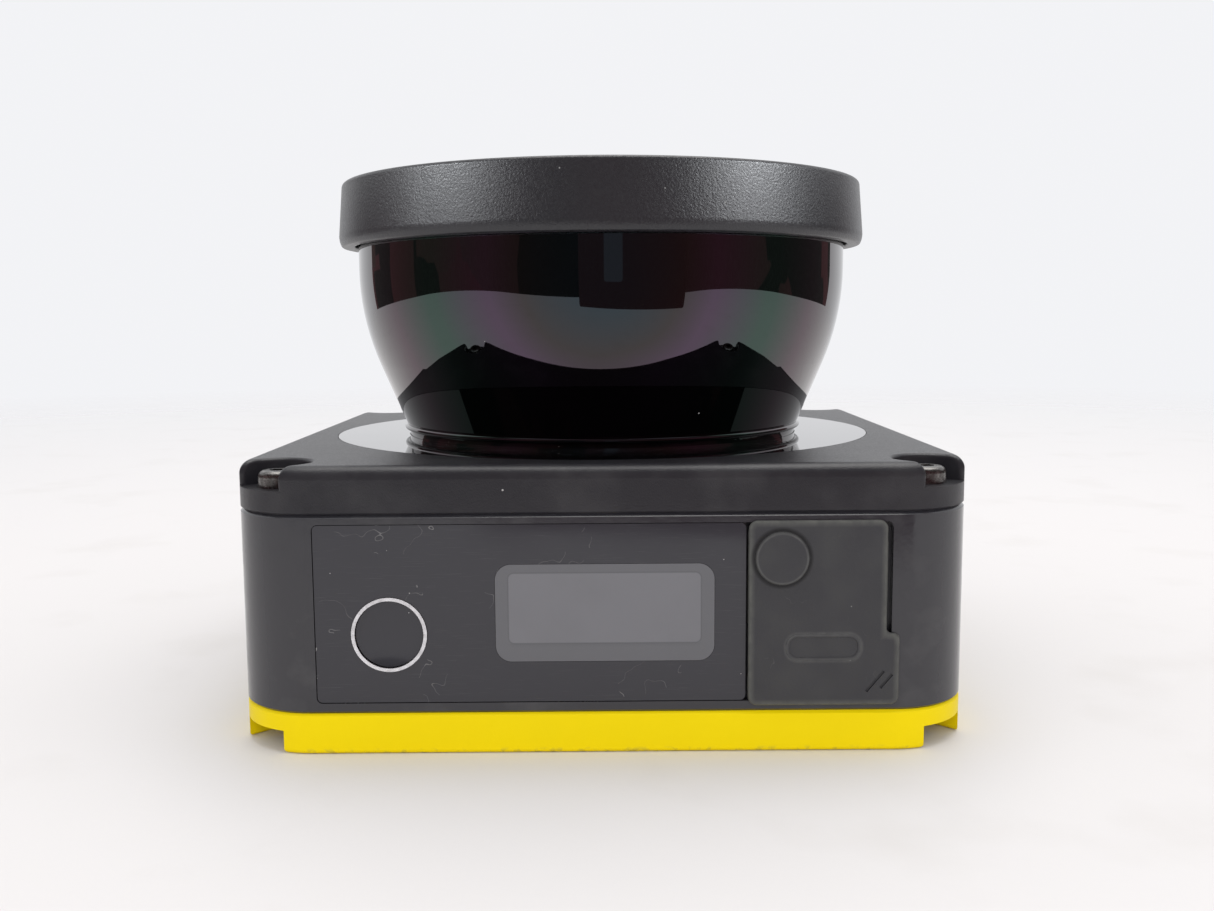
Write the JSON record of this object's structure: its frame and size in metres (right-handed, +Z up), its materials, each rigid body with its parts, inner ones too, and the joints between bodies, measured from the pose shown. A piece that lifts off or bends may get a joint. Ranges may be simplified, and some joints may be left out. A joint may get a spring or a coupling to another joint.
{
  "type": "lidar scanner",
  "caption": "Compact square lidar scanner with a turning mirror head under a dark bowl-shaped optics hood, a front panel with display, button and rubber socket flap, and round rear plugs.",
  "frame": {"origin": "centre of the underside of the base plate, on the scan head's axis", "axes": "+Z up along the scan head's axis, -Y towards the front with the display, +X to the right seen from the front"},
  "size_m": [0.101, 0.1021, 0.08],
  "materials": {
    "black_cast": "satin",
    "board": "satin",
    "bright_steel": "satin",
    "button_plastic": "satin",
    "can_metal": "satin",
    "cap_plastic": "matte",
    "chip": "matte",
    "contact": "polished",
    "copper": "satin",
    "cover_plastic": "matte",
    "deck_aluminium": "satin",
    "display_unit": "matte",
    "flap_rubber": "matte",
    "hood_plastic": "gloss",
    "insert_brass": "satin",
    "lamination": "satin",
    "led": "satin",
    "lens_glass": "gloss",
    "magnet": "satin",
    "mirror_face": "polished",
    "panel_plastic": "satin",
    "ring_metal": "satin",
    "ring_plastic": "gloss",
    "screw_steel": "satin",
    "seal_rubber": "matte",
    "socket_plastic": "matte",
    "window_glass": "gloss",
    "yellow_cast": "satin"
  },
  "bodies": {
    "enclosure": {"base_gasket": "seal_rubber", "base_plate": "yellow_cast", "base_screws": "screw_steel", "bearing_outer_rings": "bright_steel", "board_capacitors": "can_metal", "board_chips": "chip", "board_screws": "bright_steel", "button_ring": "ring_metal", "cap_seal": "seal_rubber", "chassis": "deck_aluminium", "chassis_screws": "bright_steel", "connector_inserts": "socket_plastic", "connector_nuts": "bright_steel", "connector_pins": "contact", "connector_seals": "seal_rubber", "connector_shells": "insert_brass", "cover_gasket": "seal_rubber", "cover_screws": "screw_steel", "detector_board": "board", "detector_can": "can_metal", "display_panel": "display_unit", "display_window": "window_glass", "encoder_sensor": "chip", "faceplate": "panel_plastic", "flap_anchor": "flap_rubber", "front_board": "board", "front_board_screws": "bright_steel", "hood_cap": "cap_plastic", "hood_seal": "seal_rubber", "housing": "black_cast", "laser_diode": "can_metal", "laser_lens": "lens_glass", "laser_tube": "insert_brass", "lens_barrel": "deck_aluminium", "light_ring": "ring_plastic", "main_board": "board", "optics_hood": "hood_plastic", "receiver_lens": "lens_glass", "stator_coils": "copper", "stator_core": "lamination", "status_board": "board", "status_leds": "led", "switch_body": "chip", "thread_inserts": "bright_steel", "top_cover": "cover_plastic", "usb_socket": "bright_steel", "usb_tongue": "socket_plastic"},
    "rotor": {"rotor_hub": "bright_steel", "rotor_bell": "bright_steel", "rotor_magnets": "magnet", "encoder_disc": "bright_steel", "mirror_holder": "deck_aluminium", "scan_mirror": "mirror_face", "balance_weight": "insert_brass", "bearing_inner_rings": "bright_steel"},
    "ball_sets": {"bearing_balls": "bright_steel"},
    "button": {"button_cap": "button_plastic", "switch_plunger": "socket_plastic"},
    "flap": {"usb_flap": "flap_rubber"}
  },
  "joints": [
    {"name": "rotor_spin", "type": "hinge", "parent": "enclosure", "child": "rotor", "pos_m": [0, 0, 0.03], "axis": [0, 0, 1], "continuous": true},
    {"name": "ball_spin", "type": "hinge", "parent": "enclosure", "child": "ball_sets", "pos_m": [0, 0, 0.023], "axis": [0, 0, 1], "continuous": true},
    {"name": "button_press", "type": "slide", "parent": "enclosure", "child": "button", "axis": [0, 1, 0], "range_m": [0, 0.0006], "stiffness_N_per_m": 2500},
    {"name": "usb_flap_open", "type": "hinge", "parent": "enclosure", "child": "flap", "pos_m": [0.0243, -0.0511, 0.02], "axis": [-0.7071, 0, -0.7071], "range_deg": [0, 100], "stiffness_Nm_per_rad": 0.004}
  ],
  "couplings": [
    {"joint": "ball_spin", "follows": "rotor_spin", "ratio": 0.476}
  ]
}
